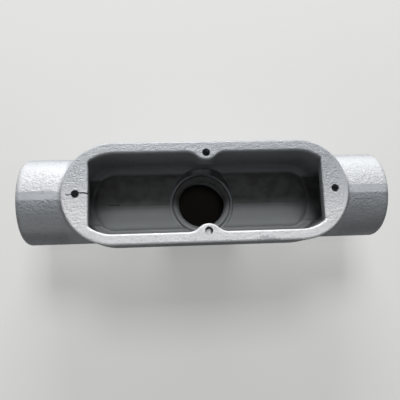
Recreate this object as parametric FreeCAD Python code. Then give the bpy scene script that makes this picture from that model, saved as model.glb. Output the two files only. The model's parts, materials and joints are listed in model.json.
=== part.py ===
import FreeCAD, Part
import math
import os

# Cast conduit body: a long round-ended box with an open cover face (up), a threaded
# hub at each end (along X) and a third threaded hub under the middle (pointing down).
# Origin: centre of the back hub's end face, on which the body stands. +X runs along
# the end hubs, +Z out of the cover face. All sizes are in millimetres.

# Box, outside: two round ends with straight sides between
end_spacing = 88.0           # between the centres of the round ends
box_draft = 0.5              # how far the side wall leans in by the underside
belly_round = 21.0           # big radius between the side wall and the underside
rim_round = 1.2              # worn outer edge of the cover face

# Chamber, inside
rim_wall = 5.2               # width of the cover face along the sides
shelf_below_axis = 3.9       # axis of the end hubs down to the ledge round the chamber
shelf_corner = 1.5           # fillet between the ledge and the chamber wall
shelf_edge = 1.6             # rounded edge of the ledge over the trough
mouth_round = 0.9            # worn inner edge of the cover face
trough_clear = 2.0           # how much further out the trough's wall is than the throats'
trough_depth = 12.9          # ledge down to the floor of the trough
trough_lean = 3.0            # how far each trough wall leans in by the floor
trough_flat = 2.75           # width of the flat floor between the round corners
trough_end_ease = 0.3        # how much wider the end walls are turned than the trough
trough_end_fillet = 2.5      # between the end walls and the floor

# Cover screws, number 10: tapped holes at their minor diameter
screw_radius = 1.9
screw_point = 118.0          # drill point, in degrees
end_screw_inset = 6.9        # from the end of the cover face in to the screw
end_screw_depth = 5.4
side_screw_inset = 5.7       # from the side of the cover face in to the screw
side_screw_depth = 10.0

# End lands: shelves at both ends of the mouth that carry the end screws
land_cover = 5.8             # from the end screw in to the inner face of the land
land_face = 5.0              # height of that inner face
land_slope = 45.0            # underside of a land, in degrees from level
land_corner = 1.5            # upright fillet where a land meets the side wall

# Side bosses: pillars on the chamber wall that carry the side screws
boss_radius = 6.5
boss_set_out = 3.1           # from the side screw out to the centre of the pillar
boss_blend = 7.0             # fillet between the pillar and the wall
boss_length = 11.0           # full section of the pillar below the cover face
boss_slope = 55.0            # underside of the pillar, in degrees from level

# Hubs, one inch trade size
hub_radius = 21.5
hub_sink = 2.1               # cover face down to the top of the end hubs
belly_cover = 0.9            # bottom of the end hubs down to the underside of the box
side_cover = 2.9             # side of a hub out to the side of the box
end_hub_length = 21.4        # from the end of the cover face to an end hub's face
back_hub_length = 18.0       # from the underside of the box to the back hub's face
hub_edge = 3.0               # rounded outer edge of a hub's face
hub_fillet = 2.5             # between the hubs and the box
parting_flat = 4.0           # width of the ground strip along a hub's top and bottom
strip_gap = 3.4              # from the end of the cover face out to that strip
thread_radius = 15.1         # bore at the crests of the pipe thread
thread_chamfer = 1.8         # at the mouth of each bore

# Throats: the smooth necks between the chamber and the threaded bores
throat_radius = 12.7
end_neck = 2.6               # from the end wall of the chamber out to the end bore
back_neck = 4.0              # from the floor of the trough down to the back bore
neck_round = 1.0             # rounded edge of a neck on the side of the bore
end_lip = 2.0                # rounded lip of an end throat on the chamber side
back_lip = 2.5               # the same on the back throat
lip_crown = 1.0              # from the back throat's lip over into its groove
moat_width = 1.5             # groove round the back throat's lip
moat_depth = 1.6
moat_corner = 0.5            # fillets at the bottom of that groove

# Worked out from the sizes above
past = 2.0                   # how far a cutting shape runs past the face it opens
end_x = end_spacing / 2
box_radius = hub_radius + side_cover
tip_x = end_x + box_radius
chamber_radius = box_radius - rim_wall
trough_half = throat_radius + trough_clear
trough_end_radius = trough_half + trough_end_ease
trough_reach = end_x + trough_half
hub_z = back_hub_length + belly_cover + hub_radius
cover_z = hub_z + hub_radius + hub_sink
shelf_z = hub_z - shelf_below_axis
floor_z = shelf_z - trough_depth
hub_reach = tip_x + end_hub_length
neck_x = end_x + chamber_radius + end_neck
end_screw_reach = tip_x - end_screw_inset
side_screw_reach = box_radius - side_screw_inset
land_reach = end_screw_reach - land_cover
boss_reach = side_screw_reach + boss_set_out
crown_radius = throat_radius + back_lip + lip_crown
moat_radius = crown_radius + moat_width
origin = FreeCAD.Vector(0, 0, 0)
hub_centre = FreeCAD.Vector(0, 0, hub_z)
along_x = FreeCAD.Vector(1, 0, 0)
along_y = FreeCAD.Vector(0, 1, 0)
upward = FreeCAD.Vector(0, 0, 1)


def in_yz(a, b):
    """Point of a cross section: a across the box, b up."""
    return FreeCAD.Vector(0, a, b)


def in_xz(a, b):
    """Point of a lengthwise section: a along the box, b up."""
    return FreeCAD.Vector(a, 0, b)


def in_xy(a, b):
    """Point of a plan view: a along the box, b across it."""
    return FreeCAD.Vector(a, b, 0)


def rounded_face(corners, place):
    """Face inside the corners (a, b, radius), each corner rounded by its radius."""
    starts, arcs, ends = [], [], []
    for i, (a, b, radius) in enumerate(corners):
        here = place(a, b)
        back = place(*corners[i - 1][:2]) - here
        ahead = place(*corners[(i + 1) % len(corners)][:2]) - here
        back.normalize()
        ahead.normalize()
        half = back.getAngle(ahead) / 2
        run = radius / math.tan(half)
        starts.append(here + back * run)
        ends.append(here + ahead * run)
        arc = None
        if radius:
            inward = (back + ahead).normalize()
            middle = here + inward * (radius / math.sin(half) - radius)
            arc = Part.Arc(starts[-1], middle, ends[-1]).toShape()
        arcs.append(arc)
    edges = []
    for i in range(len(corners)):
        if arcs[i - 1]:
            edges.append(arcs[i - 1])
        if ends[i - 1].distanceToPoint(starts[i]) > 1e-6:
            edges.append(Part.makeLine(ends[i - 1], starts[i]))
    return Part.Face(Part.Wire(edges))


def both_ends(shape):
    """The shape and its mirror image at the other end of the box."""
    return [shape, shape.mirror(origin, along_x)]


def both_sides(shape):
    """The shape and its mirror image on the other side of the box."""
    return [shape, shape.mirror(origin, along_y)]


def round_ended(corners):
    """Solid with the half section (a outward, b up) along the sides and round both ends."""
    half = rounded_face(corners, in_yz)
    half.translate(along_x * -end_x)
    side, far_side = both_sides(half.extrude(along_x * end_spacing))
    left, right = both_ends(half.revolve(along_x * -end_x, upward, 180))
    return side.fuse([far_side, left, right]).removeSplitter()


def turned(corners, base, axis, across):
    """Solid of revolution; corners are (distance from base along the axis, radius, rounding)."""
    def place(along, out):
        return base + axis * along + across * out
    return rounded_face(corners, place).revolve(base, axis, 360)


def lies_level(edge, height):
    """True where the whole edge lies at the height."""
    bounds = edge.BoundBox
    return bounds.ZLength < 0.01 and abs(bounds.ZMin - height) < 0.01


def lies_on_cylinder(edge, base, axis, radius):
    """True where points all along the edge are on the cylinder."""
    for point in edge.discretize(7):
        if abs((point - base).cross(axis).Length - radius) > 0.01:
            return False
    return True


def nearest_x(edge):
    """Distance of the edge from the middle of the box, along X."""
    bounds = edge.BoundBox
    return max(bounds.XMin, -bounds.XMax)


def box_outside():
    """Outside of the box, without hubs."""
    return round_ended([
        (0, cover_z, 0),
        (box_radius, cover_z, rim_round),
        (box_radius - box_draft, back_hub_length, belly_round),
        (0, back_hub_length, 0),
    ])


def end_hub():
    """Solid hub on the +X side, starting inside the box."""
    length = hub_reach - end_x
    corners = [(0, 0, 0), (0, hub_radius, 0), (length, hub_radius, hub_edge), (length, 0, 0)]
    return turned(corners, hub_centre + along_x * end_x, along_x, upward)


def back_hub():
    """Solid back hub, from its end face up to the axis of the end hubs."""
    corners = [(0, 0, 0), (0, hub_radius, hub_edge), (hub_z, hub_radius, 0), (hub_z, 0, 0)]
    return turned(corners, origin, upward, along_x)


def outside():
    """Outside of the whole casting, with the hubs blended into the box."""
    body = box_outside().fuse(both_ends(end_hub()) + [back_hub()])
    joins = []
    for edge in body.Edges:
        if edge.Curve.TypeId == "Part::GeomLine":
            continue
        if lies_on_cylinder(edge, hub_centre, along_x, hub_radius):
            if nearest_x(edge) < hub_reach - 2 * hub_edge:
                joins.append(edge)
        elif lies_on_cylinder(edge, origin, upward, hub_radius):
            if edge.BoundBox.ZMin > 2 * hub_edge:
                joins.append(edge)
    return body.makeFillet(hub_fillet, joins)


def parting_strip():
    """Cut that leaves a flat strip along the top and bottom of the +X hub."""
    flat = math.sqrt(hub_radius ** 2 - parting_flat ** 2 / 4)
    start = tip_x + strip_gap
    corner = FreeCAD.Vector(start, -hub_radius, hub_z + flat)
    above = Part.makeBox(hub_reach + past - start, 2 * hub_radius, past, corner)
    return above.fuse(above.mirror(hub_centre, upward))


def chamber():
    """Space above the ledge, without the lands and pillars."""
    return round_ended([
        (0, cover_z + past, 0),
        (chamber_radius, cover_z + past, 0),
        (chamber_radius, shelf_z, shelf_corner),
        (0, shelf_z, 0),
    ])


def trough():
    """Space of the round-bottomed trough under the ledge, with upright round ends."""
    top_z = shelf_z + trough_end_ease
    top = trough_half + trough_lean * trough_end_ease / trough_depth
    bottom = trough_half - trough_lean
    half_corner = (math.pi - math.atan2(trough_depth, trough_lean)) / 2
    wall = math.hypot(trough_depth, trough_lean) - shelf_edge
    corner = min(bottom - trough_flat / 2, wall) * math.tan(half_corner)
    section = rounded_face([
        (-top, top_z, 0),
        (-bottom, floor_z, corner),
        (bottom, floor_z, corner),
        (top, top_z, 0),
    ], in_yz)
    section.translate(along_x * -trough_reach)
    centre = trough_reach - trough_end_radius
    low_z = floor_z - past
    height = top_z + past - low_z
    plan = Part.makeBox(2 * centre, 2 * trough_end_radius, height,
                        FreeCAD.Vector(-centre, -trough_end_radius, low_z))
    post = Part.makeCylinder(trough_end_radius, height, FreeCAD.Vector(centre, 0, low_z))
    plan = plan.fuse(both_ends(post)).removeSplitter()
    shape = section.extrude(along_x * (2 * trough_reach)).common(plan)
    corners = []
    for edge in shape.Edges:
        if nearest_x(edge) > centre + 0.1 and not lies_level(edge, top_z):
            corners.append(edge)
    return shape.makeFillet(trough_end_fillet, corners)


def stepped_space():
    """Chamber and trough together, with the edge of the ledge rounded."""
    space = chamber().fuse(trough()).removeSplitter()
    edges = []
    for edge in space.Edges:
        bounds = edge.BoundBox
        if lies_level(edge, shelf_z) and bounds.YMax < trough_end_radius + 0.1:
            if bounds.YMin > -trough_end_radius - 0.1:
                edges.append(edge)
    return space.makeFillet(shelf_edge, edges)


def land():
    """Land at the +X end: a block with a sloping underside, right across the chamber."""
    drop = land_face + (tip_x - land_reach) * math.tan(math.radians(land_slope))
    side = rounded_face([
        (land_reach, cover_z + 2 * past, 0),
        (tip_x, cover_z + 2 * past, 0),
        (tip_x, cover_z - drop, 0),
        (land_reach, cover_z - land_face, 0),
    ], in_xz)
    side.translate(along_y * -box_radius)
    return side.extrude(along_y * (2 * box_radius))


def pillar_plan():
    """Plan of the +Y pillar: its round front and the fillets that blend it into the wall."""
    reach = boss_radius + boss_blend
    down = boss_reach - chamber_radius + boss_blend
    blend_x = math.sqrt(reach ** 2 - down ** 2)
    blend_y = chamber_radius - boss_blend
    touch_x = blend_x * boss_radius / reach
    touch_y = boss_reach - down * boss_radius / reach
    turn = (math.pi / 2 + math.atan2(down, -blend_x)) / 2
    arc_x = blend_x + boss_blend * math.cos(turn)
    arc_y = blend_y + boss_blend * math.sin(turn)
    front = in_xy(0, boss_reach - boss_radius)
    edges = [Part.Arc(in_xy(touch_x, touch_y), front, in_xy(-touch_x, touch_y)).toShape()]
    for way in (-1, 1):
        blend = Part.Arc(in_xy(way * touch_x, touch_y), in_xy(way * arc_x, arc_y),
                         in_xy(way * blend_x, chamber_radius))
        edges.append(blend.toShape())
        edges.append(Part.makeLine(in_xy(way * blend_x, chamber_radius),
                                   in_xy(way * blend_x, boss_reach)))
    edges.append(Part.makeLine(in_xy(-blend_x, boss_reach), in_xy(blend_x, boss_reach)))
    return Part.Face(Part.Wire(Part.__sortEdges__(edges)))


def pillar():
    """Pillar on the +Y wall of the chamber, with a sloping foot."""
    top_z = cover_z + 2 * past
    slope = math.tan(math.radians(boss_slope))
    front = boss_reach - boss_radius
    foot_z = cover_z - boss_length
    plan = pillar_plan()
    plan.translate(upward * floor_z)
    side = rounded_face([
        (front - past, top_z, 0),
        (front - past, foot_z + past * slope, 0),
        (box_radius, foot_z - (box_radius - front) * slope, 0),
        (box_radius, top_z, 0),
    ], in_yz)
    side.translate(along_x * -box_radius)
    above_foot = side.extrude(along_x * (2 * box_radius))
    return plan.extrude(upward * (top_z - floor_z)).common(above_foot)


def inside():
    """Space inside the box: chamber and trough, less the lands and pillars."""
    space = stepped_space().cut(both_ends(land()) + both_sides(pillar()))
    corners = []
    for edge in space.Edges:
        bounds = edge.BoundBox
        if bounds.XLength < 0.2 and bounds.YLength < 0.2:
            if abs(nearest_x(edge) - land_reach) < 0.2:
                corners.append(edge)
    return space.makeFillet(land_corner, corners)


def bore_corners(depth):
    """Half section of a threaded bore with a chamfered mouth and its neck."""
    return [
        (-past, 0, 0),
        (-past, thread_radius + thread_chamfer + past, 0),
        (thread_chamfer, thread_radius, 0),
        (depth, thread_radius, 0),
        (depth, throat_radius, neck_round),
    ]


def end_bore():
    """Bore, neck and throat of the +X hub, in to the trough."""
    inner = hub_reach - end_x - past
    corners = bore_corners(hub_reach - neck_x) + [(inner, throat_radius, 0), (inner, 0, 0)]
    return turned(corners, hub_centre + along_x * hub_reach, along_x * -1, upward)


def back_bore():
    """Bore, neck, lip and groove of the back hub, with the round well above them."""
    corners = bore_corners(floor_z - back_neck) + [
        (floor_z, throat_radius, back_lip),
        (floor_z, crown_radius, lip_crown),
        (floor_z - moat_depth, crown_radius, moat_corner),
        (floor_z - moat_depth, moat_radius, moat_corner),
        (shelf_z + shelf_edge, moat_radius, 0),
        (shelf_z + shelf_edge, 0, 0),
    ]
    return turned(corners, origin, upward, along_x)


def screw_hole(x, y, depth):
    """Drilled hole for a cover screw, with the point left by its drill."""
    point = screw_radius / math.tan(math.radians(screw_point / 2))
    corners = [(-past, 0, 0), (-past, screw_radius, 0), (depth, screw_radius, 0),
               (depth + point, 0, 0)]
    return turned(corners, FreeCAD.Vector(x, y, cover_z), upward * -1, along_x)


def screw_holes():
    """The four cover screw holes: one in each land and one in each pillar."""
    return (both_ends(screw_hole(end_screw_reach, 0, end_screw_depth))
            + both_sides(screw_hole(0, side_screw_reach, side_screw_depth)))


def throat_lips(body):
    """Edges where the end throats open into the chamber, the land and the trough."""
    edges = []
    for edge in body.Edges:
        if lies_on_cylinder(edge, hub_centre, along_x, throat_radius):
            if edge.Curve.TypeId != "Part::GeomLine" and nearest_x(edge) < neck_x - end_neck:
                edges.append(edge)
    return edges


def mouth_edges(body):
    """Inner edges of the cover face, without the screw holes and the outer rim."""
    edges = []
    for edge in body.Edges:
        bounds = edge.BoundBox
        small = max(bounds.XLength, bounds.YLength) < 2 * screw_radius + 0.1
        inner = max(bounds.YMax, -bounds.YMin) < chamber_radius + 0.1
        if lies_level(edge, cover_z) and inner:
            if not (small and edge.isClosed()):
                edges.append(edge)
    return edges


def conduit_body():
    """The finished casting."""
    body = outside().cut(inside())
    body = body.makeFillet(mouth_round, mouth_edges(body))
    body = body.cut([back_bore()] + both_ends(end_bore()))
    body = body.makeFillet(end_lip, throat_lips(body))
    return body.cut(screw_holes() + both_ends(parting_strip()))


os.makedirs("parts", exist_ok=True)
casting = conduit_body()
casting.exportStep("parts/conduit_body.step")
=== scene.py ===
"""Conduit body: a grey enamelled casting with three threaded hubs and an open cover face."""

import json
import logging
import math
from collections.abc import Callable, Sequence
from dataclasses import dataclass, field
from enum import Enum

import bmesh
import bpy
from mathutils import Matrix, Vector

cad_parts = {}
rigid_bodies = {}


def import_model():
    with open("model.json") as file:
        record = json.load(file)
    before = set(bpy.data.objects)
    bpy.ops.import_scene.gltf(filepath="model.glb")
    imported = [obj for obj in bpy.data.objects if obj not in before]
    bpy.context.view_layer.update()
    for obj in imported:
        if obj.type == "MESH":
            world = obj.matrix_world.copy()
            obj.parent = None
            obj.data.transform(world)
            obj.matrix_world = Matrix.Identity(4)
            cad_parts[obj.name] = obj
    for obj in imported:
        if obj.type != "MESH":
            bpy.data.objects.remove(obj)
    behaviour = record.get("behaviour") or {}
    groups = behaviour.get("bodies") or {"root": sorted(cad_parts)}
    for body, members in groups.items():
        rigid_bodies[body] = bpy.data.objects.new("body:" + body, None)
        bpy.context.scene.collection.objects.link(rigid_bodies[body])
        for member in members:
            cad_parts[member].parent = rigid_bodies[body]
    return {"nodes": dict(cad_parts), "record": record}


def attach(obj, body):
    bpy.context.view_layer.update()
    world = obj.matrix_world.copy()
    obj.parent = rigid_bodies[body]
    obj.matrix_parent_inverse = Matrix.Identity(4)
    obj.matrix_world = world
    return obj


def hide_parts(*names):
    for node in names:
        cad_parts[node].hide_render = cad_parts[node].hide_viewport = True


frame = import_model()

Colour = tuple[float, float, float]
Span = tuple[float, float]
Socket = bpy.types.NodeSocket
Object = bpy.types.Object

MM = 0.001
BODY = "root"
NODE = "conduit_body"

MERGED = MM / 1000          # corners nearer than this are one corner
ON_CUT = MM / 10000         # corners nearer than this to a cut lie on it

log = logging.getLogger("conduit_body")


def mount(name: str) -> dict:
    """The record's mount of this name."""
    return next(found for found in frame["record"]["mounts"] if found["name"] == name)


COVER = mount("cover_face")["pos_m"][2]     # height of the cover face
AXIS = mount("right_hub")["pos_m"][2]       # height of the end hubs' common axis
END_CENTRE = 44.0 * MM                      # out to the centre of a round end of the box
BOX_END = 68.4 * MM                         # out to the end of the cover face
STRIP_HALF = 2.0 * MM                       # half the width of a hub's ground strip
STRIP_LEVEL = 21.4 * MM                     # from the end hubs' axis out to that strip
BORE_CHAMFER = 1.8 * MM                     # at the mouth of each threaded bore
THREAD_RUN_OUT = 1.5 * MM                   # plain wall between a thread and its bore's bottom


def let_go() -> None:
    """Leave object mode's selection empty."""
    for thing in bpy.context.view_layer.objects:
        thing.select_set(False)


def pick(thing: Object) -> None:
    """Make one object the selected and active one.

    Args:
        thing: the object.
    """
    let_go()
    thing.select_set(True)
    bpy.context.view_layer.objects.active = thing


def settle(thing: Object) -> None:
    """Move an object's place, turn and scale into its mesh."""
    pick(thing)
    bpy.ops.object.transform_apply(location=True, rotation=True, scale=True)


def apply_modifier(thing: Object, kind: str, **settings: object) -> None:
    """Add one modifier, set it and apply it.

    Args:
        thing: object that gets the modifier.
        kind: Blender's name of the modifier type.
        settings: the modifier's properties.
    """
    pick(thing)
    modifier = thing.modifiers.new(kind.lower(), kind)
    for key, value in settings.items():
        setattr(modifier, key, value)
    bpy.ops.object.modifier_apply(modifier=modifier.name)


def turn_round(thing: Object, rise: float, turns: int, segments: int) -> None:
    """Turn an object's outline round the upright axis into a surface.

    Args:
        thing: object whose mesh is the outline.
        rise: how far the outline climbs in a turn.
        turns: how many turns it makes.
        segments: how many steps make a turn.
    """
    apply_modifier(thing, "SCREW", axis="Z", angle=math.tau, screw_offset=rise,
                   iterations=turns, steps=segments, render_steps=segments)


def select_where(thing: Object, wanted: Callable[[bmesh.types.BMEdge], bool]) -> None:
    """Select only the edges that a test picks out, in edit mode.

    Args:
        thing: object that is open in edit mode.
        wanted: test of one edge.
    """
    mesh = bmesh.from_edit_mesh(thing.data)
    for element in [*mesh.verts, *mesh.edges, *mesh.faces]:
        element.select = False
    for edge in mesh.edges:
        if wanted(edge):
            edge.select_set(True)
    bmesh.update_edit_mesh(thing.data)


def drawn_line(name: str, points: Sequence[Vector]) -> Object:
    """Open chain of edges, extruded from point to point.

    Args:
        name: name of the new object.
        points: corners of the chain, in metres.

    Returns:
        The object, at the origin.
    """
    let_go()
    bpy.ops.mesh.primitive_plane_add(size=MM, location=points[0])
    line = bpy.context.active_object
    line.name = name
    bpy.ops.object.mode_set(mode="EDIT")
    bpy.ops.mesh.select_mode(type="VERT")
    bpy.ops.mesh.select_all(action="SELECT")
    bpy.ops.mesh.merge(type="CENTER")
    for here, ahead in zip(points, points[1:]):
        bpy.ops.mesh.extrude_region_move(TRANSFORM_OT_translate={"value": ahead - here})
    bpy.ops.object.mode_set(mode="OBJECT")
    settle(line)
    return line


@dataclass(frozen=True)
class Pattern:
    """Noise with lumps of a real size."""

    grain: float                # size of the lumps
    detail: float = 2.0         # how many finer layers lie over them
    rough: float = 0.5          # how strong the finer layers are
    shift: float = 0.0          # slides the pattern, so that two layers differ
    drawn_out: float = 1.0      # how many times longer the lumps are along the casting


class Graph:
    """Node tree of one material, with short ways to add what the finishes need."""

    def __init__(self, name: str) -> None:
        """Start an empty material.

        Args:
            name: name of the material.
        """
        self.material = bpy.data.materials.new(name)
        self.material.use_nodes = True
        self.tree = self.material.node_tree
        self.tree.nodes.clear()
        self.place = self.add("ShaderNodeTexCoord").outputs["Object"]
        parts = self.add("ShaderNodeSeparateXYZ", {"Vector": self.place})
        self.x, self.y, self.z = (parts.outputs[axis] for axis in "XYZ")
        self.along = self.reckon("ABSOLUTE", self.x)
        self.across = self.reckon("ABSOLUTE", self.y)

    def add(self, kind: str, inputs: dict | None = None, **settings: object) -> bpy.types.Node:
        """Add one node.

        Args:
            kind: Blender's name of the node type.
            inputs: a value or another node's output for each named or numbered input.
            settings: the node's own properties.

        Returns:
            The node.
        """
        node = self.tree.nodes.new(kind)
        for key, value in settings.items():
            setattr(node, key, value)
        for key, value in (inputs or {}).items():
            if isinstance(value, Socket):
                self.tree.links.new(value, node.inputs[key])
            else:
                node.inputs[key].default_value = value
        return node

    def reckon(self, operation: str, first: Socket | float, second: Socket | float = 0.0) -> Socket:
        """Output of a Math node.

        Args:
            operation: the node's operation.
            first: a number or an output.
            second: a number or an output.

        Returns:
            The result.
        """
        node = self.add("ShaderNodeMath", {0: first, 1: second}, operation=operation)
        return node.outputs[0]

    def distance(self, first: Socket, second: Socket) -> Socket:
        """Length of the diagonal over two lengths at right angles."""
        squares = [self.reckon("MULTIPLY", side, side) for side in (first, second)]
        return self.reckon("SQRT", self.reckon("ADD", *squares))

    def product(self, first: Socket | float, *others: Socket | float) -> Socket:
        """Product of several numbers.

        Args:
            first: a number or an output.
            others: more numbers or outputs.

        Returns:
            The product.
        """
        for other in others:
            first = self.reckon("MULTIPLY", first, other)
        return first

    def step(self, value: Socket, span: Span, onto: Span = (0.0, 1.0)) -> Socket:
        """Smooth rise from one number to another as a value passes through a span.

        Args:
            value: what is followed.
            span: where the rise starts and ends; either end may be the larger one.
            onto: the two numbers.

        Returns:
            The number, held at both ends.
        """
        node = self.add(
            "ShaderNodeMapRange",
            {"Value": value, "From Min": span[0], "From Max": span[1],
             "To Min": onto[0], "To Max": onto[1]},
            interpolation_type="SMOOTHSTEP",
        )
        return node.outputs["Result"]

    def noise(self, pattern: Pattern) -> Socket:
        """Noise of one pattern.

        Args:
            pattern: size and make of the lumps.

        Returns:
            A number round 0.5.
        """
        moved = self.add("ShaderNodeVectorMath", {
            0: self.place, 1: (1.0 / pattern.drawn_out, 1.0, 1.0), 2: (pattern.shift,) * 3},
            operation="MULTIPLY_ADD")
        node = self.add("ShaderNodeTexNoise", {
            "Vector": moved.outputs[0], "Scale": 1.0 / pattern.grain,
            "Detail": pattern.detail, "Roughness": pattern.rough})
        return node.outputs["Fac"]

    def centred_noise(self, pattern: Pattern) -> Socket:
        """Noise of one pattern, round 0, so that a share of it leaves the level alone."""
        return self.reckon("SUBTRACT", self.noise(pattern), 0.5)

    def mix(self, amount: Socket | float, first: Socket | Colour, second: Socket | Colour) -> Socket:
        """Mix of two colours.

        Args:
            amount: share of the second colour.
            first: a colour or an output.
            second: a colour or an output.

        Returns:
            The mixed colour.
        """
        node = self.add("ShaderNodeMix", {0: amount}, data_type="RGBA")
        for index, value in ((6, first), (7, second)):
            if isinstance(value, Socket):
                self.tree.links.new(value, node.inputs[index])
            else:
                node.inputs[index].default_value = (*value, 1.0)
        return node.outputs[2]

    def bump(self, height: Socket, depth: float, under: Socket | None = None) -> Socket:
        """Bump of a real depth.

        Args:
            height: a number from 0 to 1.
            depth: how far the surface moves over that range, in metres.
            under: another bump that this one lies on.

        Returns:
            The bent normal.
        """
        inputs: dict = {"Height": height, "Distance": depth, "Strength": 1.0}
        if under is not None:
            inputs["Normal"] = under
        return self.add("ShaderNodeBump", inputs).outputs["Normal"]

    def finish(self, shader: bpy.types.Node) -> bpy.types.Material:
        """Join the shader to the output and hand over the material."""
        self.add("ShaderNodeOutputMaterial", {"Surface": shader.outputs[0]})
        return self.material


@dataclass(frozen=True)
class Hairline:
    """Fine open line along the casting, where two flows of metal met."""

    start: float                # along the casting
    end: float
    across: float
    heights: Span               # between which it shows
    width: float
    strength: float
    opens_in: float = 1.2 * MM  # length over which it opens
    ends_in: float = 0.6 * MM   # length over which it closes
    sharpness: float = 0.4      # share of the width that is fully dark


ON_FACE: Span = (COVER - 1.0 * MM, COVER + 1.0 * MM)
IN_TROUGH: Span = (20.0 * MM, 36.0 * MM)


@dataclass(frozen=True)
class CastEnamel:
    """Grey enamel sprayed over a sand casting, with its grain and worn edges, and with painted
    highlight and painted shade.

    A span is where one look passes softly into another: it begins at the first number and
    is complete at the second.
    """

    name: str = "cast_enamel"
    coat: Colour = (0.42, 0.445, 0.475)
    thin: Colour = (0.385, 0.408, 0.436)
    # painted highlight: paler colour on the near cover face and the hub tops
    painted_highlight: Colour = (0.74, 0.75, 0.77)
    # colour of the dark specks, and of the painted shade on the near hub flanks
    speck_and_shade: Colour = (0.22, 0.23, 0.245)
    # painted shade: darker colour on the walls of the chamber and the throats
    inner_shade: Colour = (0.20, 0.212, 0.22)
    # painted shade, less dark, on the floor of the trough
    trough: Colour = (0.31, 0.325, 0.335)
    # painted shade at the bottom of the trough, darkest on its far side
    painted_shade: Colour = (0.085, 0.085, 0.08)
    worn: Colour = (0.66, 0.67, 0.68)
    pit: Colour = (0.03, 0.03, 0.03)

    grain_depth: float = 0.24 * MM
    pit_depth: float = 0.15 * MM
    peel_depth: float = 0.36 * MM
    wave_depth: float = 0.18 * MM
    hairline_depth: float = 0.25 * MM

    clouds: Pattern = Pattern(9 * MM, 3.0)
    specks: Pattern = Pattern(0.55 * MM, 2.0, 0.6, 0.3, 1.8)
    # patches of the painted shade in the trough
    shade_spread: Pattern = Pattern(7 * MM, 3.0, 0.5, 0.7)
    sheen: Pattern = Pattern(3 * MM, 2.0, 0.5, 0.2)
    wander: Pattern = Pattern(2.2 * MM, 2.0, 0.5, 0.15)
    grain: Pattern = Pattern(0.75 * MM, 3.0, 0.65, 0.0, 1.5)
    peel: Pattern = Pattern(1.7 * MM, 1.5, 0.5, 0.5, 1.6)
    pits: Pattern = Pattern(0.95 * MM, 2.0, 0.6, 1.3, 1.2)
    waves: Pattern = Pattern(14 * MM, 1.0, 0.5, 0.9)
    smear_edge: Pattern = Pattern(1.5 * MM, 3.0, 0.6, 0.8)
    wear: Pattern = Pattern(1.5 * MM, 3.0, 0.6, 0.4)

    above_rim: Span = (COVER - 1.0 * MM, COVER - 0.3 * MM)
    under_rim: Span = (COVER - 1.0 * MM, COVER - 1.6 * MM)
    over_rim: Span = (COVER - 1.6 * MM, COVER - 1.0 * MM)
    upper_part: Span = (54 * MM, COVER - 4.0 * MM)
    # spans where the painted highlight and the painted shade lie
    near_side: Span = (14 * MM, -21 * MM)
    left_end: Span = (10 * MM, -60 * MM)
    on_hubs: Span = (BOX_END - 2.4 * MM, BOX_END - 0.4 * MM)
    hub_tops: Span = (46 * MM, 57 * MM)
    near_flanks: Span = (32 * MM, 52 * MM)
    throat_wall: Span = (16.5 * MM, 15.5 * MM)
    chamber_wall: Span = (20.6 * MM, 19.0 * MM)
    trough_wall: Span = (17.5 * MM, 16.5 * MM)

    smear_middle: Span = (27.5 * MM, -23.2 * MM)
    smear_half: Span = (4.0 * MM, MM / 1.1)
    edge_radius: float = 0.5 * MM

    hairlines: tuple[Hairline, ...] = (
        Hairline(-60.6 * MM, -54.2 * MM, 0.10 * MM, ON_FACE, 0.55 * MM, 1.0),
        Hairline(-66.4 * MM, -62.8 * MM, -0.55 * MM, ON_FACE, 0.45 * MM, 0.9),
        Hairline(-52.5 * MM, -45.0 * MM, 0.4 * MM, IN_TROUGH, 0.38 * MM, 0.9),
        Hairline(-43.0 * MM, -17.0 * MM, 0.1 * MM, IN_TROUGH, 0.30 * MM, 0.35),
        Hairline(17.0 * MM, 53.0 * MM, 0.1 * MM, IN_TROUGH, 0.30 * MM, 0.4),
    )

    def build(self) -> bpy.types.Material:
        """Lay the coats, the painted highlight and the painted shade over one another, from the even
        grey to the hairlines.

        Returns:
            Material of the whole casting.
        """
        graph = Graph(self.name)
        inside = self.inside(graph)
        strip = self.strip(graph)
        line = self.hairline(graph)
        clouds = graph.step(graph.noise(self.clouds), (0.35, 0.65))
        colour = graph.mix(clouds, self.thin, self.coat)
        # painted highlight on the near side and left end of the cover face and on the hub tops
        colour = graph.mix(self.painted_highlight_share(graph), colour, self.painted_highlight)
        # painted shade on the near flanks of the end hubs
        colour = graph.mix(self.painted_shade_share(graph), colour, self.speck_and_shade)
        specks = graph.product(graph.step(graph.noise(self.specks), (0.60, 0.70), (0.0, 0.55)),
                               graph.step(graph.z, self.upper_part, (0.25, 1.0)))
        colour = graph.mix(specks, colour, self.speck_and_shade)
        # painted shade inside: darker walls, less dark trough floor
        low = graph.step(graph.z, (36.0 * MM, 33.0 * MM))
        colour = graph.mix(inside, colour, graph.mix(low, self.inner_shade, self.trough))
        # painted shade at the bottom of the trough
        colour = graph.mix(self.painted_trough_shade(graph, inside), colour, self.painted_shade)
        colour = graph.mix(self.worn_edge(graph), colour, self.worn)
        colour = graph.mix(self.smear(graph), colour, self.thin)
        colour = graph.mix(line, colour, self.pit)
        return graph.finish(graph.add("ShaderNodeBsdfPrincipled", {
            "Base Color": colour, "Roughness": self.roughness(graph, inside),
            "Normal": self.relief(graph, inside, strip, line),
            "Specular IOR Level": 0.5}))

    def roughness(self, graph: Graph, inside: Socket) -> Socket:
        """How dull the coat is: more inside, less on the cover face.

        Args:
            graph: the material's nodes.
            inside: share of the chamber, the trough and the throats.

        Returns:
            The roughness.
        """
        rough = graph.step(graph.noise(self.sheen), (0.3, 0.7), (0.26, 0.38))
        rough = graph.reckon("ADD", rough, graph.product(inside, 0.16))
        smoother = graph.step(graph.z, (COVER - 0.5 * MM, COVER - 0.1 * MM), (0.0, 0.08))
        return graph.reckon("SUBTRACT", rough, smoother)

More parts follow.
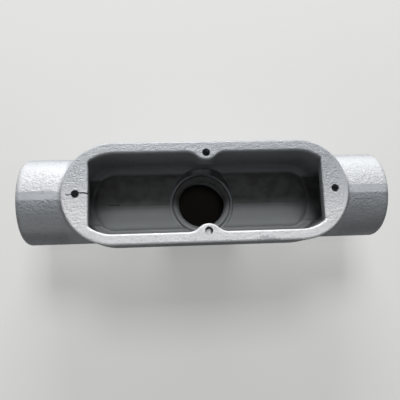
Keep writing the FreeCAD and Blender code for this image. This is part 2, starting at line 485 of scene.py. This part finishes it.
    def painted_trough_shade(self, graph: Graph, inside: Socket) -> Socket:
        """Share of the painted shade at the bottom of the trough, darkest on its far side, broken into
        patches.

        Args:
            graph: the material's nodes.
            inside: share of the chamber, the trough and the throats.

        Returns:
            The share.
        """
        low = graph.product(graph.step(graph.z, (36.6 * MM, 34.5 * MM)),
                            graph.step(graph.y, (-6 * MM, 4 * MM), (0.06, 1.0)))
        patches = graph.step(graph.noise(self.shade_spread), (0.30, 0.65), (0.78, 1.0))
        return graph.product(inside, low, patches)

    def painted_highlight_share(self, graph: Graph) -> Socket:
        """Share of the painted highlight: a paler colour where the light falls most.

        It lies on the cover face, most on the near side and the left end, and on the tops of
        the end hubs, most behind their ground strips.

        Args:
            graph: the material's nodes.

        Returns:
            The share.
        """
        near = graph.step(graph.y, self.near_side, (0.10, 1.0))
        left = graph.step(graph.x, self.left_end, (0.0, 0.2))
        cover = graph.product(graph.reckon("ADD", near, left), graph.step(graph.z, self.above_rim))
        strip = graph.step(graph.y, (-STRIP_HALF - 0.3 * MM, -STRIP_HALF + 0.3 * MM), (0.0, 0.28))
        behind = graph.step(graph.y, (STRIP_HALF - 0.3 * MM, STRIP_HALF + 0.6 * MM), (0.0, 0.38))
        hub = graph.product(graph.reckon("ADD", strip, behind), graph.step(graph.along, self.on_hubs),
                            graph.step(graph.z, self.hub_tops), self.off_cover(graph))
        return graph.reckon("ADD", cover, hub)

    def painted_shade_share(self, graph: Graph) -> Socket:
        """Share of the painted shade on the near flanks of the end hubs, which face away from the
        light.
        """
        near = graph.step(graph.y, (-STRIP_HALF + 0.2 * MM, -STRIP_HALF - 0.8 * MM), (0.0, 0.42))
        return graph.product(near, graph.step(graph.along, self.on_hubs),
                             graph.step(graph.z, self.near_flanks), self.off_cover(graph))

    def off_cover(self, graph: Graph) -> Socket:
        """One everywhere but on the cover face."""
        return graph.step(graph.z, self.under_rim)

    def inside(self, graph: Graph) -> Socket:
        """Share of the inside: the chamber, the trough and the three throats, whose colour is darkened
        as painted shade.

        Args:
            graph: the material's nodes.

        Returns:
            The share.
        """
        end = graph.reckon("MAXIMUM", graph.reckon("SUBTRACT", graph.along, END_CENTRE), 0.0)
        reach = graph.distance(end, graph.y)
        chamber = graph.product(graph.step(reach, self.chamber_wall),
                                graph.step(graph.z, (32 * MM, 33 * MM)),
                                graph.step(graph.z, (COVER - 0.4 * MM, COVER - 4.0 * MM)))
        trough = graph.product(graph.step(reach, self.trough_wall),
                               graph.step(graph.z, (21.8 * MM, 22.6 * MM)),
                               graph.step(graph.z, (36 * MM, 33 * MM)))
        back = graph.product(graph.step(graph.distance(graph.x, graph.y), self.throat_wall),
                             graph.step(graph.z, (26 * MM, 24 * MM)))
        height = graph.reckon("SUBTRACT", graph.z, AXIS)
        share = graph.step(graph.distance(graph.y, height), self.throat_wall)
        for other in (back, chamber, trough):
            share = graph.reckon("MAXIMUM", share, other)
        return share

    def strip(self, graph: Graph) -> Socket:
        """Share of the ground places: a strip along the end hubs and one end of the cover face.

        Args:
            graph: the material's nodes.

        Returns:
            The share.
        """
        strip = graph.product(
            graph.step(graph.across, (STRIP_HALF + 0.3 * MM, STRIP_HALF - 0.2 * MM)),
            graph.step(graph.along, (BOX_END + 0.1 * MM, BOX_END + 2.6 * MM)),
            graph.step(graph.z, (56 * MM, 60 * MM)))
        tip = graph.product(graph.step(graph.x, (63.6 * MM, 64.6 * MM)),
                            graph.step(graph.z, (COVER - 2.0 * MM, COVER - 1.0 * MM)))
        return graph.reckon("MAXIMUM", strip, tip)

    def hairline(self, graph: Graph) -> Socket:
        """Share of the hairlines, each wavy and broken up.

        Args:
            graph: the material's nodes.

        Returns:
            The share.
        """
        sway = graph.step(graph.noise(self.wander), (0.2, 0.8), (-0.3 * MM, 0.3 * MM))
        track = graph.reckon("ADD", graph.y, sway)
        found: Socket | float = 0.0
        for line in self.hairlines:
            off = graph.reckon("ABSOLUTE", graph.reckon("SUBTRACT", track, line.across))
            low, high = line.heights
            share = graph.product(
                graph.step(off, (line.width, line.width * line.sharpness)),
                graph.step(graph.x, (line.start, line.start + line.opens_in)),
                graph.step(graph.x, (line.end, line.end - line.ends_in)),
                graph.step(graph.z, (low - MM, low)),
                graph.step(graph.z, (high + MM, high)), line.strength)
            found = graph.reckon("MAXIMUM", share, found)
        return found

    def calm(self, graph: Graph, inside: Socket, strip: Socket) -> Socket:
        """How much of the sand-cast roughness is left, from nearly smooth to 1.

        Args:
            graph: the material's nodes.
            inside: share of the chamber, the trough and the throats, which are smoother.
            strip: share of the ground places, which are smoother.

        Returns:
            The factor.
        """
        calm = graph.reckon("SUBTRACT", 1.0, graph.product(strip, 0.75))
        calm = graph.reckon("SUBTRACT", calm, graph.product(inside, 0.6))
        far_flank = graph.step(graph.y, (15 * MM, 9 * MM), (0.45, 1.0))
        return graph.product(
            calm,
            graph.step(graph.z, (53 * MM, 60 * MM), (0.3, 1.0)),
            graph.step(graph.y, (-20 * MM, -14 * MM), (0.55, 1.0)),
            graph.reckon("MAXIMUM", graph.step(graph.z, self.over_rim), far_flank))

    def relief(self, graph: Graph, inside: Socket, strip: Socket, line: Socket) -> Socket:
        """Bent normal of the sand-cast surface.

        Args:
            graph: the material's nodes.
            inside: share of the chamber, the trough and the throats.
            strip: share of the ground places.
            line: share of the hairlines, which are sunk.

        Returns:
            The normal.
        """
        calm = self.calm(graph, inside, strip)
        peel = graph.product(graph.centred_noise(self.peel), calm,
                             graph.step(graph.z, (COVER - 1.0 * MM, COVER - 0.2 * MM), (1.0, 0.7)))
        grain = graph.product(graph.centred_noise(self.grain), calm)
        pits = graph.product(graph.step(graph.noise(self.pits), (0.50, 0.62)), calm,
                             graph.step(graph.y, (-18 * MM, 6 * MM), (0.3, 1.0)),
                             graph.step(graph.x, (-60 * MM, 50 * MM), (0.55, 1.0)))
        normal = graph.bump(graph.noise(self.waves), self.wave_depth)
        normal = graph.bump(peel, self.peel_depth, normal)
        normal = graph.bump(grain, self.grain_depth, normal)
        normal = graph.bump(pits, -self.pit_depth, normal)
        return graph.bump(line, -self.hairline_depth, normal)

    def smear(self, graph: Graph) -> Socket:
        """Share of a dull, ragged smear on the near rim of the cover face.

        Args:
            graph: the material's nodes.

        Returns:
            The share.
        """
        ragged = graph.step(graph.noise(self.smear_edge), (0.35, 0.65), (-0.7, 0.7))
        off = [graph.reckon("DIVIDE", graph.reckon("SUBTRACT", place, middle), half)
               for place, middle, half in zip((graph.x, graph.y), self.smear_middle, self.smear_half)]
        edge = graph.reckon("ADD", graph.distance(*off), ragged)
        return graph.product(graph.step(edge, (1.3, 0.8), (0.0, 0.7)),
                             graph.step(graph.z, (COVER - 1.5 * MM, COVER - 1.0 * MM)))

    def worn_edge(self, graph: Graph) -> Socket:
        """Share of wear: it follows the sharp edges, broken up by noise.

        Args:
            graph: the material's nodes.

        Returns:
            The share.
        """
        flat = graph.add("ShaderNodeNewGeometry").outputs["Normal"]
        eased = graph.add("ShaderNodeBevel", {"Radius": self.edge_radius}, samples=4).outputs["Normal"]
        turn = graph.add("ShaderNodeVectorMath", {0: flat, 1: eased}, operation="DOT_PRODUCT")
        edge = graph.step(turn.outputs["Value"], (0.97, 0.80), (0.0, 0.6))
        return graph.product(edge, graph.step(graph.noise(self.wear), (0.4, 0.6)))


@dataclass(frozen=True)
class CutThread:
    """Machined thread: bright cut metal under a thin, broken mist of enamel."""

    name: str = "cut_thread"
    metal: Colour = (0.30, 0.30, 0.30)
    mist: Colour = (0.36, 0.38, 0.41)
    grime: Colour = (0.16, 0.15, 0.14)
    mist_patches: Pattern = Pattern(2.5 * MM, 4.0, 0.6)
    grime_patches: Pattern = Pattern(0.6 * MM, 2.0, 0.5, 0.6)
    scratches: Pattern = Pattern(0.4 * MM, 2.0, 0.6, 0.1)
    scratch_depth: float = 0.02 * MM

    def build(self) -> bpy.types.Material:
        """Spread the mist and the grime over the metal.

        Returns:
            Material of a threaded bore.
        """
        graph = Graph(self.name)
        mist = graph.step(graph.noise(self.mist_patches), (0.35, 0.6))
        grime = graph.step(graph.noise(self.grime_patches), (0.55, 0.75), (0.0, 0.4))
        return graph.finish(graph.add("ShaderNodeBsdfPrincipled", {
            "Base Color": graph.mix(grime, graph.mix(mist, self.metal, self.mist), self.grime),
            "Roughness": graph.step(mist, (0.0, 1.0), (0.30, 0.55)), "Metallic": 0.4,
            "Normal": graph.bump(graph.noise(self.scratches), self.scratch_depth)}))


@dataclass(frozen=True)
class PooledEnamel:
    """Enamel that ran together: smooth, with a painted highlight on a patch near the middle and
    painted shadow along the wall.
    """

    middle: Vector
    name: str = "pooled_enamel"
    # painted highlight on the lit patch of the pool
    painted_highlight: Colour = (0.72, 0.74, 0.76)
    # painted shadow along the hole's wall
    painted_shade: Colour = (0.10, 0.105, 0.11)
    lit_radius: float = 1.05 * MM
    off: Span = (-0.2 * MM, -0.35 * MM)     # lit patch of painted highlight, off the middle along and across
    ragged: Pattern = Pattern(1.1 * MM)

    def build(self) -> bpy.types.Material:
        """Ring the lit patch with painted shadow.

        Returns:
            Material of the pool.
        """
        graph = Graph(self.name)
        reach = graph.distance(
            graph.reckon("SUBTRACT", graph.x, self.middle.x + self.off[0]),
            graph.reckon("SUBTRACT", graph.y, self.middle.y + self.off[1]))
        ragged = graph.step(graph.noise(self.ragged), (0.3, 0.7), (-0.25 * MM, 0.25 * MM))
        shade_spread = graph.step(graph.reckon("ADD", reach, ragged),
                          (self.lit_radius, self.lit_radius + 0.5 * MM))
        return graph.finish(graph.add("ShaderNodeBsdfPrincipled", {
            "Base Color": graph.mix(shade_spread, self.painted_highlight, self.painted_shade), "Roughness": 0.25}))


@dataclass(frozen=True)
class PaleFloor:
    """Pale studio floor with a faint glow of its own for the eye alone."""

    name: str = "pale_floor"
    seen: Colour = (0.44, 0.44, 0.432)
    # painted contact shadow on the floor under the back hub
    painted_contact_shadow: Colour = (0.06, 0.055, 0.05)
    given_back: Colour = (0.28, 0.275, 0.265)
    glow_colour: Colour = (1.0, 1.0, 0.99)
    glow: float = 0.32
    covered: float = 19 * MM                # radius under the back hub, without the glow

    def build(self) -> bpy.types.Material:
        """Paint a dark contact shadow on the floor under the back hub, and keep the floor pale
        everywhere else.

        Returns:
            Material of the floor.
        """
        graph = Graph(self.name)
        shown = graph.add("ShaderNodeLightPath").outputs["Is Camera Ray"]
        reach = graph.add("ShaderNodeVectorMath", {0: graph.place}, operation="LENGTH")
        clear = graph.step(reach.outputs["Value"], (self.covered, self.covered + MM))
        colour = graph.mix(shown, self.given_back, graph.mix(clear, self.painted_contact_shadow, self.seen))
        return graph.finish(graph.add("ShaderNodeBsdfPrincipled", {
            "Base Color": colour, "Roughness": 1.0, "Specular IOR Level": 0.0,
            "Emission Color": (*self.glow_colour, 1.0),
            "Emission Strength": graph.product(shown, clear, self.glow)}))


class Way(Enum):
    """Ways in which a bore's mouth faces."""

    RIGHT = (1.0, 0.0, 0.0)
    LEFT = (-1.0, 0.0, 0.0)
    BACK = (0.0, 0.0, -1.0)

    @property
    def outward(self) -> Vector:
        """Direction out of the mouth."""
        return Vector(self.value)


@dataclass
class ThreadedBore:
    """Round hole with a helical thread cut into its wall."""

    name: str
    way: Way
    mouth: Vector
    crest: float                    # radius of the thread's crests
    depth: float
    threaded: float                 # depth at which the thread has run out
    pitch: float = 2.209 * MM
    groove: float = 1.6 * MM        # from the crests out to the roots, at the mouth
    chamfer: float = BORE_CHAMFER
    taper: float = 1 / 32           # what the groove loses for each length of depth
    fade_turns: float = 1.5         # turns over which the thread runs out
    flat_share: float = 0.16        # flat of a crest or a root, as a share of the pitch
    flank_share: float = 0.34
    lead_turns: float = 1.5         # turns that start before the mouth and are cut off
    spare_turns: int = 4
    clearance: float = 0.02 * MM
    segments: int = 72
    smooth_to: float = 28.0

    @property
    def wall(self) -> float:
        """Radius to which the casting is opened up, just outside the thread's roots."""
        return self.crest + max(self.groove, self.chamfer) + self.clearance

    def holds(self, point: Vector) -> bool:
        """Whether a point of the casting lies on this bore's plain wall.

        Args:
            point: a corner of the casting's mesh.

        Returns:
            True if it does.
        """
        reach = point - self.mouth
        sunk = -reach.dot(self.way.outward)
        radius = (reach + sunk * self.way.outward).length
        return -MM / 10 < sunk < self.depth + MM / 10 and abs(radius - self.crest) < 0.06 * MM

    def opened(self, point: Vector) -> Vector:
        """Where such a point goes once the bore is opened up to its wall."""
        axis = self.mouth + (point - self.mouth).project(self.way.outward)
        return axis + (point - axis).normalized() * self.wall

    def root_limit(self, sunk: float) -> float:
        """Largest radius of the thread at a depth below the mouth."""
        fade = min(max((self.threaded - sunk) / (self.fade_turns * self.pitch), 0.0), 1.0)
        return self.crest + fade * max(self.groove - sunk * self.taper, 0.0)

    def chamfer_limit(self, sunk: float) -> float:
        """Smallest radius of the thread at a depth below the mouth."""
        return self.crest + max(self.chamfer - sunk, 0.0)

    def build(self, finish: bpy.types.Material) -> Object:
        """Model the threaded wall as a closed sleeve and set it in its place.

        Args:
            finish: material of the thread.

        Returns:
            The piece.
        """
        crest, root = self.crest, self.crest + self.groove
        flat, flank = self.pitch * self.flat_share, self.pitch * self.flank_share
        heights = [0.0, flat, flat + flank, 2 * flat + flank, self.pitch]
        radii = [crest, crest, root, root, crest]
        start = -self.lead_turns * self.pitch
        sleeve = drawn_line(self.name, [Vector((r, 0.0, start + h)) for r, h in zip(radii, heights)])
        turns = math.ceil(self.depth / self.pitch) + self.spare_turns
        turn_round(sleeve, self.pitch, turns, self.segments)
        for vertex in sleeve.data.vertices:
            radius = vertex.co.xy.length
            limit = min(radius, self.root_limit(vertex.co.z))
            vertex.co.xy *= max(limit, self.chamfer_limit(vertex.co.z)) / radius
        self.close(sleeve)
        turn = Vector((0.0, 0.0, -1.0)).rotation_difference(self.way.outward)
        sleeve.matrix_world = Matrix.Translation(self.mouth) @ turn.to_matrix().to_4x4()
        settle(sleeve)
        bpy.ops.object.shade_smooth_by_angle(angle=math.radians(self.smooth_to))
        sleeve.data.materials.append(finish)
        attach(sleeve, BODY)
        return sleeve

    def close(self, sleeve: Object) -> None:
        """Cut the helix level at both ends and close it with an outer wall.

        Args:
            sleeve: the helical wall, with its mouth at the origin and its depth up.
        """
        pick(sleeve)
        bpy.ops.object.mode_set(mode="EDIT")
        bpy.ops.mesh.select_mode(type="EDGE")
        bpy.ops.mesh.select_all(action="SELECT")
        bpy.ops.mesh.remove_doubles(threshold=MERGED)
        bpy.ops.mesh.bisect(plane_co=(0, 0, 0), plane_no=(0, 0, 1), clear_inner=True,
                            threshold=ON_CUT)
        bpy.ops.mesh.select_all(action="SELECT")
        bpy.ops.mesh.bisect(plane_co=(0, 0, self.depth), plane_no=(0, 0, 1), clear_outer=True,
                            threshold=ON_CUT)
        select_where(sleeve, lambda edge: edge.is_boundary and self.level(edge, self.depth))
        bpy.ops.mesh.extrude_region_move()
        scale = self.wall / self.crest
        bpy.ops.transform.resize(value=(scale, scale, 1), center_override=(0, 0, 0))
        bpy.ops.mesh.extrude_region_move(TRANSFORM_OT_translate={"value": (0, 0, -self.depth)})
        select_where(sleeve, lambda edge: edge.is_boundary and self.level(edge, 0.0))
        bpy.ops.mesh.bridge_edge_loops()
        bpy.ops.mesh.select_all(action="SELECT")
        bpy.ops.mesh.remove_doubles(threshold=MERGED)
        bpy.ops.mesh.normals_make_consistent(inside=False)
        bpy.ops.object.mode_set(mode="OBJECT")

    @staticmethod
    def level(edge: bmesh.types.BMEdge, height: float) -> bool:
        """Whether both ends of an edge lie at a height."""
        return all(abs(vertex.co.z - height) < MM / 100 for vertex in edge.verts)


@dataclass
class EnamelPool:
    """Enamel that filled most of one screw hole, drawn up a little at the wall."""

    name: str
    middle: Vector                  # of the hole, on the cover face
    radius: float
    sunk: float = 2.4 * MM          # cover face down to the middle of the pool
    thick: float = 2.0 * MM
    creep: float = 0.5 * MM         # how far it is drawn up at the wall
    segments: int = 48
    smooth_to: float = 40.0

    def build(self, finish: bpy.types.Material) -> Object:
        """Model the pool by turning its outline round the hole's axis.

        Args:
            finish: material of the pool.

        Returns:
            The piece.
        """
        outline = [(0.0, -self.thick), (0.80, -self.thick), (1.0, -0.85 * self.thick),
                   (1.0, self.creep), (0.92, 0.45 * self.creep), (0.78, 0.16 * self.creep),
                   (0.5, 0.03 * self.creep), (0.0, 0.0)]
        pool = drawn_line(self.name, [Vector((self.radius * r, 0.0, h)) for r, h in outline])
        turn_round(pool, 0.0, 1, self.segments)
        pick(pool)
        bpy.ops.object.mode_set(mode="EDIT")
        bpy.ops.mesh.select_all(action="SELECT")
        bpy.ops.mesh.remove_doubles(threshold=MERGED)
        bpy.ops.mesh.normals_make_consistent(inside=False)
        bpy.ops.object.mode_set(mode="OBJECT")
        pool.location = self.middle - Vector((0.0, 0.0, self.sunk))
        settle(pool)
        bpy.ops.object.shade_smooth_by_angle(angle=math.radians(self.smooth_to))
        pool.data.materials.append(finish)
        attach(pool, BODY)
        return pool


@dataclass
class Casting:
    """The enamelled casting: a merged copy of the solid's mesh, opened up for the threads."""

    node: str
    bores: list[ThreadedBore] = field(default_factory=list)
    smooth_to: float = 34.0
    strip_start: float = BOX_END + 2.6 * MM

    def build(self, finish: bpy.types.Material) -> Object:
        """Copy the node's mesh, merge it, open up its bores and give it its finish.

        Args:
            finish: material of the casting.

        Returns:
            The piece that stands for the node.
        """
        source = frame["nodes"][self.node]
        casting = bpy.data.objects.new("casting", source.data.copy())
        bpy.context.scene.collection.objects.link(casting)
        pick(casting)
        bpy.ops.object.mode_set(mode="EDIT")
        bpy.ops.mesh.select_mode(type="VERT")
        bpy.ops.mesh.select_all(action="SELECT")
        bpy.ops.mesh.remove_doubles(threshold=MERGED)
        bpy.ops.object.mode_set(mode="OBJECT")
        bpy.ops.mesh.customdata_custom_splitnormals_clear()
        for vertex in casting.data.vertices:
            for bore in self.bores:
                if bore.holds(vertex.co):
                    vertex.co = bore.opened(vertex.co)
        bpy.ops.object.shade_smooth_by_angle(angle=math.radians(self.smooth_to))
        bpy.ops.object.mode_set(mode="EDIT")
        bpy.ops.mesh.select_mode(type="EDGE")
        select_where(casting, self.beside_strip)
        bpy.ops.mesh.mark_sharp()
        bpy.ops.object.mode_set(mode="OBJECT")
        apply_modifier(casting, "WEIGHTED_NORMAL", keep_sharp=True, weight=50)
        casting.data.materials.clear()
        casting.data.materials.append(finish)
        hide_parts(self.node)
        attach(casting, BODY)
        return casting

    def beside_strip(self, edge: bmesh.types.BMEdge) -> bool:
        """Whether an edge bounds a ground strip on top of or under an end hub.

        Args:
            edge: an edge of the casting's mesh.

        Returns:
            True if both its ends do.
        """
        return all(abs(abs(vertex.co.y) - STRIP_HALF) < MM / 20
                   and abs(vertex.co.x) > self.strip_start
                   and abs(abs(vertex.co.z - AXIS) - STRIP_LEVEL) < MM / 10
                   for vertex in edge.verts)


@dataclass(frozen=True)
class Lamp:
    """Soft square lamp that faces the middle of the part."""

    name: str
    azimuth: float              # 0 on the near side and 90 on the right, in degrees
    elevation: float
    distance: float
    size: float
    power: float
    aim: float = 40 * MM        # height of the point that it faces

    def build(self) -> Object:
        """Place the lamp.

        Returns:
            The lamp.
        """
        turn, lift = math.radians(self.azimuth), math.radians(self.elevation)
        way = Vector((math.sin(turn) * math.cos(lift), -math.cos(turn) * math.cos(lift),
                      math.sin(lift)))
        data = bpy.data.lights.new(self.name, "AREA")
        data.energy = self.power
        data.size = self.size
        lamp = bpy.data.objects.new(self.name, data)
        lamp.location = way * self.distance + Vector((0.0, 0.0, self.aim))
        lamp.rotation_euler = way.to_track_quat("Z", "Y").to_euler()
        bpy.context.scene.collection.objects.link(lamp)
        return lamp


@dataclass(frozen=True)
class Eye:
    """Camera over the cover face, a little to the left and near side."""

    lens: float = 40.5
    sensor: float = 36.0
    nearest: float = 10 * MM
    place: tuple[float, float, float] = (-18.7 * MM, -37.4 * MM, 271.7 * MM)
    turn: tuple[float, float, float] = (0.160, -0.066, -0.036)

    def build(self) -> Object:
        """Put the camera in its place and look through it.

        Returns:
            The camera.
        """
        data = bpy.data.cameras.new("camera")
        data.lens = self.lens
        data.sensor_width = self.sensor
        data.clip_start = self.nearest
        camera = bpy.data.objects.new("camera", data)
        camera.location = self.place
        camera.rotation_euler = self.turn
        bpy.context.scene.collection.objects.link(camera)
        bpy.context.scene.camera = camera
        return camera


@dataclass
class Studio:
    """Floor, lamps, sky and camera."""

    floor_size: float = 30.0
    sky: float = 0.05           # light that the sky gives to the part
    backdrop: float = 0.40      # how bright the sky looks to the camera
    lamps: list[Lamp] = field(default_factory=lambda: [
        Lamp("far_low", 180.0, 17.0, 1.2, 0.6, 15.5),
        Lamp("far_high", 180.0, 57.0, 1.2, 0.4, 7.5),
        Lamp("overhead", 180.0, 88.0, 1.2, 0.2, 0.8),
        Lamp("near_fill", -20.0, 10.0, 1.4, 1.0, 3.2),
    ])

    def build(self) -> None:
        """Set up the stage, its light and the camera."""
        let_go()
        bpy.ops.mesh.primitive_plane_add(size=self.floor_size, location=(0, 0, 0))
        floor = bpy.context.active_object
        floor.name = "floor"
        floor.data.materials.append(PaleFloor().build())
        for lamp in self.lamps:
            lamp.build()
        self.hang_sky()
        bpy.context.scene.view_settings.view_transform = "Standard"
        Eye().build()

    def hang_sky(self) -> None:
        """Give the scene its even sky, brighter to the camera than to the part."""
        world = bpy.data.worlds.new("sky")
        world.use_nodes = True
        tree = world.node_tree
        shown = tree.nodes.new("ShaderNodeLightPath").outputs["Is Camera Ray"]
        background = tree.nodes["Background"]
        background.inputs["Color"].default_value = (1.0, 1.0, 1.0, 1.0)
        strength = tree.nodes.new("ShaderNodeMapRange")
        strength.inputs["To Min"].default_value = self.sky
        strength.inputs["To Max"].default_value = self.backdrop
        tree.links.new(shown, strength.inputs["Value"])
        tree.links.new(strength.outputs["Result"], background.inputs["Strength"])
        bpy.context.scene.world = world


def hub_bores() -> list[ThreadedBore]:
    """Place a pipe thread in each hub of the record.

    Returns:
        The three threaded bores.
    """
    bores = []
    for name, way in (("right_hub", Way.RIGHT), ("left_hub", Way.LEFT), ("back_hub", Way.BACK)):
        hub = mount(name)
        length = hub["dims"]["length_mm"] * MM
        bores.append(ThreadedBore(
            name=f"{name}_thread", way=way, crest=hub["dims"]["r_mm"] * MM,
            mouth=Vector(hub["pos_m"]) + way.outward * (length / 2 + BORE_CHAMFER),
            depth=length + BORE_CHAMFER, threaded=length - THREAD_RUN_OUT))
    return bores


def near_screw_hole() -> tuple[Vector, float]:
    """Find the screw hole in the near pillar.

    Returns:
        Its middle on the cover face, and its radius.
    """
    screws = mount("side_screws")
    half = screws["dims"]["spacing_y_mm"] * MM / 2
    return Vector(screws["pos_m"]) - Vector((0.0, half, 0.0)), screws["dims"]["hole_r_mm"] * MM


def main() -> None:
    """Build the casting, its threads, the pool of enamel and the studio round them."""
    logging.basicConfig(level=logging.INFO, format="%(message)s")
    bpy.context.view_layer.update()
    bores = hub_bores()
    pieces = [Casting(NODE, bores).build(CastEnamel().build())]
    thread_finish = CutThread().build()
    pieces += [bore.build(thread_finish) for bore in bores]
    middle, radius = near_screw_hole()
    pieces.append(EnamelPool("screw_hole_pool", middle, radius).build(PooledEnamel(middle).build()))
    for piece in pieces:
        log.info("%s: %d faces", piece.name, len(piece.data.polygons))
    Studio().build()


if __name__ == "__main__":
    main()
